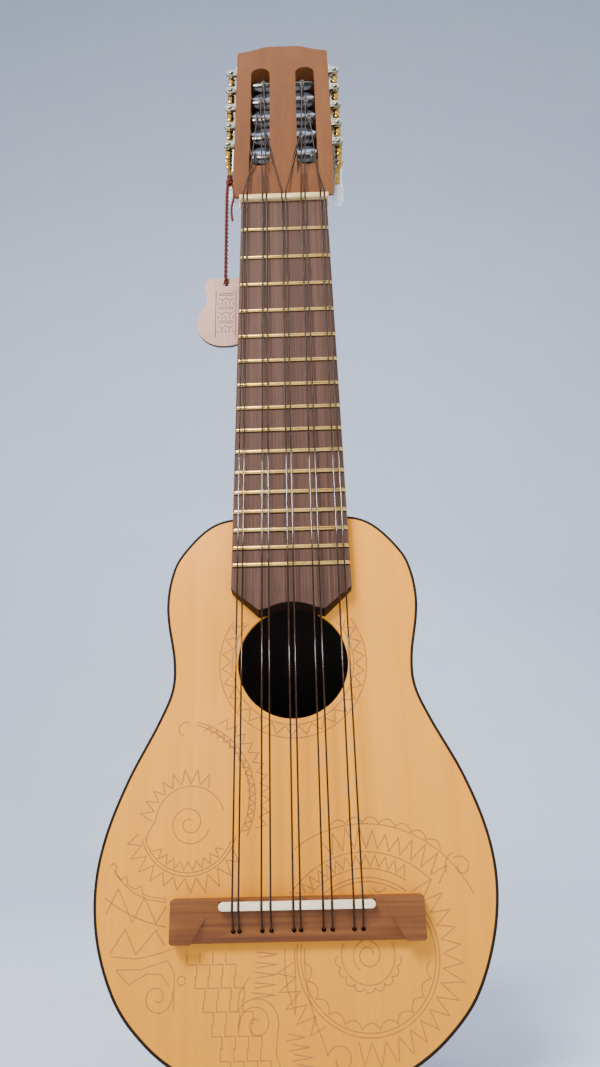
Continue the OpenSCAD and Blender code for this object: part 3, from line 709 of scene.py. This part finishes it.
# ------------------------------------------------------------------ fingerboard and frets
a0 = math.atan2(21.44, 15.75)
def end_r(i):
    return 26.6 - 1.4 * min(1.0, min(i, 40 - i) / 5)
arc_end = [(end_r(i) * math.cos(a0 + (math.pi - 2 * a0) * i / 40), -270 + end_r(i) * math.sin(a0 + (math.pi - 2 * a0) * i / 40)) for i in range(41)]
board = plate("fretboard_plate", [[(25, 0), (25, -0.01), (29, -235), (29, -236)] + arc_end + [(-29, -236), (-29, -235), (-25, 0)]], -11, TOP_Y, 0.4, M_BOARD)
for v in board.data.vertices:   # its lower end is cut back at a slant, so that its end face shows; that face is painted dark, as painted shade
    q = min(1.0, max(0.0, (-0.2345 - v.co.z) / 0.004)); t = min(1.0, max(0.0, (-0.005 - v.co.y) / 0.0055))
    v.co.z += 0.0026 * t * q
# the slanted end faces get the dark material: painted shade
board.data.materials.append(M_BINDING_AND_SHADE)
for p in board.data.polygons:
    if p.center.z < -0.2345 and p.normal.z < -0.3 and p.normal.y > -0.8:
        p.material_index = 1
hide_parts("fretboard")
parts = []
for i in range(1, 17):
    z = -370 * (1 - 2 ** (-i / 12)); w = 25 - z * 4 / 235
    xs = [(-w, 0.05), (-w + 0.25, 0.5), (-w + 0.6, 0.85), (-w + 1.1, 1.0)]
    xs += [(-x, h) for x, h in reversed(xs)]
    V = []; F = []; q = 12
    for x, h in xs:
        for j in range(q + 1):
            a = math.pi * j / q
            V.append((x, -10.95 - 1.05 * h * math.sin(a) ** 0.8, z - 1.0 * math.cos(a)))
    for a in range(len(xs) - 1):
        for j in range(q + 1):
            k = (j + 1) % (q + 1)
            F.append((a * (q + 1) + j, a * (q + 1) + k, (a + 1) * (q + 1) + k, (a + 1) * (q + 1) + j))
    F.append(tuple(range(q + 1))); F.append(tuple((len(xs) - 1) * (q + 1) + j for j in range(q + 1)))
    parts.append((V, F))
fr_o = mesh_obj("frets_domed", *join_geo(parts), M_FRET)
fr_o.data.set_sharp_from_angle(angle=math.radians(50))
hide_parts("frets")

# a thin dark strip just below each fret: painted shadow under the frets
parts = []
for i in range(1, 17):
    z = -370 * (1 - 2 ** (-i / 12)) - 1.0; w = 24.8 - z * 4 / 235
    parts.append(([(-w, -11.03, z), (w, -11.03, z), (w, -11.03, z - 0.5), (-w, -11.03, z - 0.5), (-w, -10.9, z), (w, -10.9, z), (w, -10.9, z - 0.5), (-w, -10.9, z - 0.5)],
                  [(0, 1, 2, 3), (7, 6, 5, 4), (0, 4, 5, 1), (1, 5, 6, 2), (2, 6, 7, 3), (3, 7, 4, 0)]))
fret_shadow_strips = mesh_obj("fret_painted_shadows", *join_geo(parts), M_BINDING_AND_SHADE, "root", smooth=False)

# ------------------------------------------------------------------ exact CAD shapes with their edges eased
def refine(node_name, name, mat, body, bevel=0.3, ang=30, seg=2, sharp=40):
    me = frame["nodes"][node_name].data.copy(); me.name = name
    bm = bmesh.new(); bm.from_mesh(me)
    bmesh.ops.remove_doubles(bm, verts=bm.verts, dist=2e-6)
    bmesh.ops.dissolve_limit(bm, angle_limit=math.radians(0.6), verts=bm.verts, edges=bm.edges)
    if bevel:
        es = [e for e in bm.edges if len(e.link_faces) == 2 and e.calc_face_angle(0) > math.radians(ang)]
        bmesh.ops.bevel(bm, geom=es, offset=bevel * MM, offset_type="OFFSET", segments=seg, profile=0.5, affect="EDGES", clamp_overlap=True)
    bmesh.ops.triangulate(bm, faces=[f for f in bm.faces if len(f.verts) > 4])
    bm.to_mesh(me); bm.free()
    me.materials.clear(); me.materials.append(mat)
    for p in me.polygons:
        p.use_smooth = True; p.material_index = 0
    me.set_sharp_from_angle(angle=math.radians(sharp))
    o = bpy.data.objects.new(name, me)
    S.collection.objects.link(o)
    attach(o, body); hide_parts(node_name)
    return o

refine("neck_headstock", "neck_and_head", M_NECK, "root", 0.0, sharp=13)
refine("nut", "nut_eased", M_NUT, "root", 0.15)
refine("saddle", "saddle_eased", M_BONE, "root", 0.2)
refine("bridge", "bridge_eased", M_BRIDGE, "root", 0.35)
for side_ in ("left", "right"):
    refine("tuner_plate_" + side_, "machine_plate_" + side_, M_NICKEL, "root", 0.12)
refine("plate_screws", "machine_screws", M_NICKEL, "root", 0.08)

# ------------------------------------------------------------------ strings
STRING_ROLLER = (0, 2, 3, 4, 1, 1, 4, 3, 2, 0)
WIND_X = (-17.6, -16.6, -14.6, -12.6, -10.8, 10.8, 12.6, 14.6, 16.6, 17.6)
ROLLER_STRING = (0, 4, 1, 2, 3)
roller_z = lambda j: 43.5 + 18.4 * j

def rounded(pts, r, n=5):
    pts = [Vector(p) for p in pts]
    out = [pts[0]]
    for a, b, c in zip(pts, pts[1:], pts[2:]):
        d1 = (a - b); d2 = (c - b); q = min(r, d1.length * 0.45, d2.length * 0.45)
        p0 = b + d1.normalized() * q; p2 = b + d2.normalized() * q
        for i in range(n + 1):
            t = i / n
            out.append(p0 * (1 - t) ** 2 + b * 2 * t * (1 - t) + p2 * t * t)
    out.append(pts[-1])
    return out

for c in range(5):
    parts = []
    for k in (2 * c, 2 * c + 1):
        zr = roller_z(STRING_ROLLER[k]); s = sad_x[k]
        wrap = [head(WIND_X[k], 8 - 5.85 * math.cos(a), zr + 5.85 * math.sin(a)) for a in (0.9, 0.6, 0.3, 0.05)]
        bend = rounded([wrap[-1], (nut_x[k], -12.8, 4.8), (nut_x[k], -12.9, 0.2), (s, -16.2, SAD_Z + 0.8), (s, -16.05, SAD_Z - 1.1),
                        (s, -11.9, TIE_Z + 1.2), (s, -10.9, TIE_Z + 0.25), (s, -10, TIE_Z), (s, -0.2, TIE_Z)], 0.5)
        pts = wrap[:-1] + bend
        parts.append(tube_geo(pts, 0.4, 12))
        parts.append(knot_geo((s, 1.2, TIE_Z), 0.28, 0.42, 0.4 * k))
    o = mesh_obj("string_pair_%d" % (c + 1), *join_geo(parts), M_STRING)
    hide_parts("course_%d" % (c + 1))

# ------------------------------------------------------------------ tuning machines
def worm_mesh(s, zr):
    y0, y1, ns, q = 4.0, 12.0, 96, 20
    lead = 2 * math.pi * 6.75 / 14
    V = []; F = []
    zc = zr + 8.5
    for i in range(ns + 1):
        a = math.radians(90) + 2 * math.pi * (i / ns - 0.5) * 8 / lead
        y = y0 + 8 * i / ns
        for j in range(q):
            t = 2 * math.pi * j / q + a
            u = 0.65 * math.cos(a) + 1.75 * math.cos(t); v = 0.65 * math.sin(a) + 1.75 * math.sin(t)
            V.append(head(s * (34.2 + u), y, zc - v))
    for i in range(ns):
        for j in range(q):
            k = (j + 1) % q
            F.append((i * q + j, i * q + k, (i + 1) * q + k, (i + 1) * q + j))
    F.append(tuple(range(q))); F.append(tuple(ns * q + j for j in range(q)))
    return V, F

def lathe_y(s, zr, prof, n=28):
    V = []; F = []
    zc = zr + 8.5
    for r, y in prof:
        for j in range(n):
            a = 2 * math.pi * j / n
            V.append(head(s * (34.2 + r * math.cos(a)), y, zc + r * math.sin(a)))
    for i in range(len(prof) - 1):
        for j in range(n):
            k = (j + 1) % n
            F.append((i * n + j, i * n + k, (i + 1) * n + k, (i + 1) * n + j))
    F.append(tuple(range(n))); F.append(tuple((len(prof) - 1) * n + j for j in range(n)))
    return V, F

BP = [(1.42, 0.0), (2.2, 0.05), (2.6, 0.5), (2.75, 1.6), (3.5, 2.8), (5.1, 4.1), (6.2, 5.6), (6.85, 7.4), (7.08, 9.2), (6.85, 10.8), (6.2, 12.2), (5.3, 13.3),
      (4.1, 14.1), (2.8, 14.6), (1.5, 14.9), (0.01, 15.0)]
def button_mesh(s, zr):
    # flattened pear: round in Z, slimmer in X
    V = []; F = []; n = 40; zc = zr + 8.5
    for r, y in BP:
        for j in range(n):
            a = 2 * math.pi * j / n
            lim = 3.6
            u = r * math.cos(a); v = r * math.sin(a)
            u = lim * math.tanh(u / lim * (1 + 0.35 * abs(u) / 7.1))
            V.append(head(s * 34.2 + u, 31 + y, zc + v))
    for i in range(len(BP) - 1):
        for j in range(n):
            k = (j + 1) % n
            F.append((i * n + j, i * n + k, (i + 1) * n + k, (i + 1) * n + j))
    F.append(tuple(range(n))); F.append(tuple((len(BP) - 1) * n + j for j in range(n)))
    return V, F

for s in (-1, 1):
    for j in range(5):
        k = j + 1 if s < 0 else j + 6
        zr = roller_z(j); key = "key_%d" % k; post = "post_%d" % k
        shaft = join_geo([worm_mesh(s, zr),
                          lathe_y(s, zr, [(1.4, 11.6), (1.4, 17.6), (1.9, 17.6), (2.1, 17.8), (2.1, 18.8), (1.75, 19.0), (1.75, 19.3), (2.1, 19.5), (2.1, 20.4), (1.9, 20.6),
                                          (1.4, 20.6), (1.4, 38.8)])])
        w = mesh_obj("worm_%d" % k, *shaft, M_BRASS, key)
        w.data.set_sharp_from_angle(angle=math.radians(50))
        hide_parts("worm_shaft_%d" % k)
        tip = mesh_obj("shaft_tip_%d" % k, *lathe_y(s, zr, [(1.1, -0.2), (1.4, 0.05), (1.4, 4.4)]), M_NICKEL, key)
        tip.data.set_sharp_from_angle(angle=math.radians(50))
        b = mesh_obj("pearl_button_%d" % k, *button_mesh(s, zr), M_PEARL, key)
        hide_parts("button_%d" % k)
        refine("cog_%d" % k, "gear_%d" % k, M_BRASS, post, 0.1)
        # roller, and the turns of string on it
        V = []; F = []; n = 40
        prof = [(4.2, 4.8), (4.6, 5.1), (4.6, 29.6), (4.4, 29.9), (2.5, 29.9), (2.5, 33.2)]
        for r, x in prof:
            for i in range(n):
                a = 2 * math.pi * i / n
                V.append(head(s * x, 8 + r * math.cos(a), zr + r * math.sin(a)))
        for i in range(len(prof) - 1):
            for q in range(n):
                p = (q + 1) % n
                F.append((i * n + q, i * n + p, (i + 1) * n + p, (i + 1) * n + q))
        F.append(tuple(range(n))); F.append(tuple((len(prof) - 1) * n + q for q in range(n)))
        r_o = mesh_obj("string_roller_%d" % k, V, F, M_CHROME, post)
        r_o.data.set_sharp_from_angle(angle=math.radians(35))
        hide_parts("roller_%d" % k)
        wx = abs(WIND_X[ROLLER_STRING[j]])
        turns = 4.1
        coil = []
        for i in range(int(turns * 36) + 1):
            t = i / (turns * 36); a = 2 * math.pi * turns * t + 1.1
            coil.append(head(s * (wx - 1.3 + 2.6 * t), 8 - 5.0 * math.cos(a), zr + 5.0 * math.sin(a)))
        c_o = mesh_obj("string_turns_%d" % k, *tube_geo(coil, 0.4, 10), M_WIND, post)

# ------------------------------------------------------------------ wood inside the box: the braces get their material
for node_name, mat, slot_name in (("soundboard_braces", M_BRACE, "brace_wood"),):
    o = frame["nodes"][node_name]
    o.data.materials.clear(); o.data.materials.append(mat)

# ------------------------------------------------------------------ stage: floor running up into a plain backdrop
M_STAGE = plain("stage_m", srgb(214, 224, 245), srgb(217, 227, 247), (0.9, 0.95), 6, bump_s=0.0)
FLOOR = -449.0
prof = [(-4000, FLOOR), (900, FLOOR)]
for i in range(1, 17):
    a = math.pi / 2 * i / 16
    prof.append((900 + 900 * math.sin(a), FLOOR + 900 * (1 - math.cos(a))))
prof.append((1800, 5000))
V = []; F = []
for y, z in prof:
    V += [(-5000, y, z), (5000, y, z)]
for i in range(len(prof) - 1):
    F.append((2 * i, 2 * i + 1, 2 * i + 3, 2 * i + 2))
stage = mesh_obj("stage_sweep", V, F, M_STAGE, None)

def area(name, loc, target, size, power, colour, size_y=None):
    li = bpy.data.lights.new(name, "AREA")
    li.energy = power; li.color = colour
    li.shape = "RECTANGLE"; li.size = size; li.size_y = size_y or size
    o = bpy.data.objects.new(name, li)
    S.collection.objects.link(o)
    o.location = loc
    o.rotation_mode = "QUATERNION"
    o.rotation_quaternion = (Vector(target) - Vector(loc)).to_track_quat("-Z", "Y")
    return o
area("key_light", (-0.75, -1.45, 1.15), (0, 0, -0.2), 0.7, 70, (1.0, 0.985, 0.95))
area("fill_light", (1.4, -1.4, 0.2), (0, 0, -0.2), 1.0, 13, (0.97, 0.98, 1.0))
area("top_light", (0.1, -0.2, 1.5), (0, 0, 0), 1.0, 12, (1.0, 1.0, 1.0))
area("back_light", (0.5, 1.3, 0.9), (0, 0, -0.2), 0.9, 8, (0.96, 0.98, 1.0))
# two window strips that only the strings catch
glints = [area("glint_a", (-0.22, -1.5, 0.475), (0, 0, -0.183), 0.5, 190, (1.0, 1.0, 1.0), 0.2),
          area("glint_b", (-0.12, -1.5, 0.053), (0, 0, -0.264), 0.5, 26, (1.0, 1.0, 1.0), 0.05)]
only = bpy.data.collections.new("string_glint")
for o in S.collection.all_objects:
    if o.name.startswith("string_pair_"):
        only.objects.link(o)
for o in glints:
    o.light_linking.receiver_collection = only
    o.visible_diffuse = False
world = bpy.data.worlds.new("studio")
S.world = world
world.use_nodes = True
bg = next(n for n in world.node_tree.nodes if n.type == "BACKGROUND")
bg.inputs["Color"].default_value = (0.78, 0.84, 0.92, 1)
bg.inputs["Strength"].default_value = 0.45
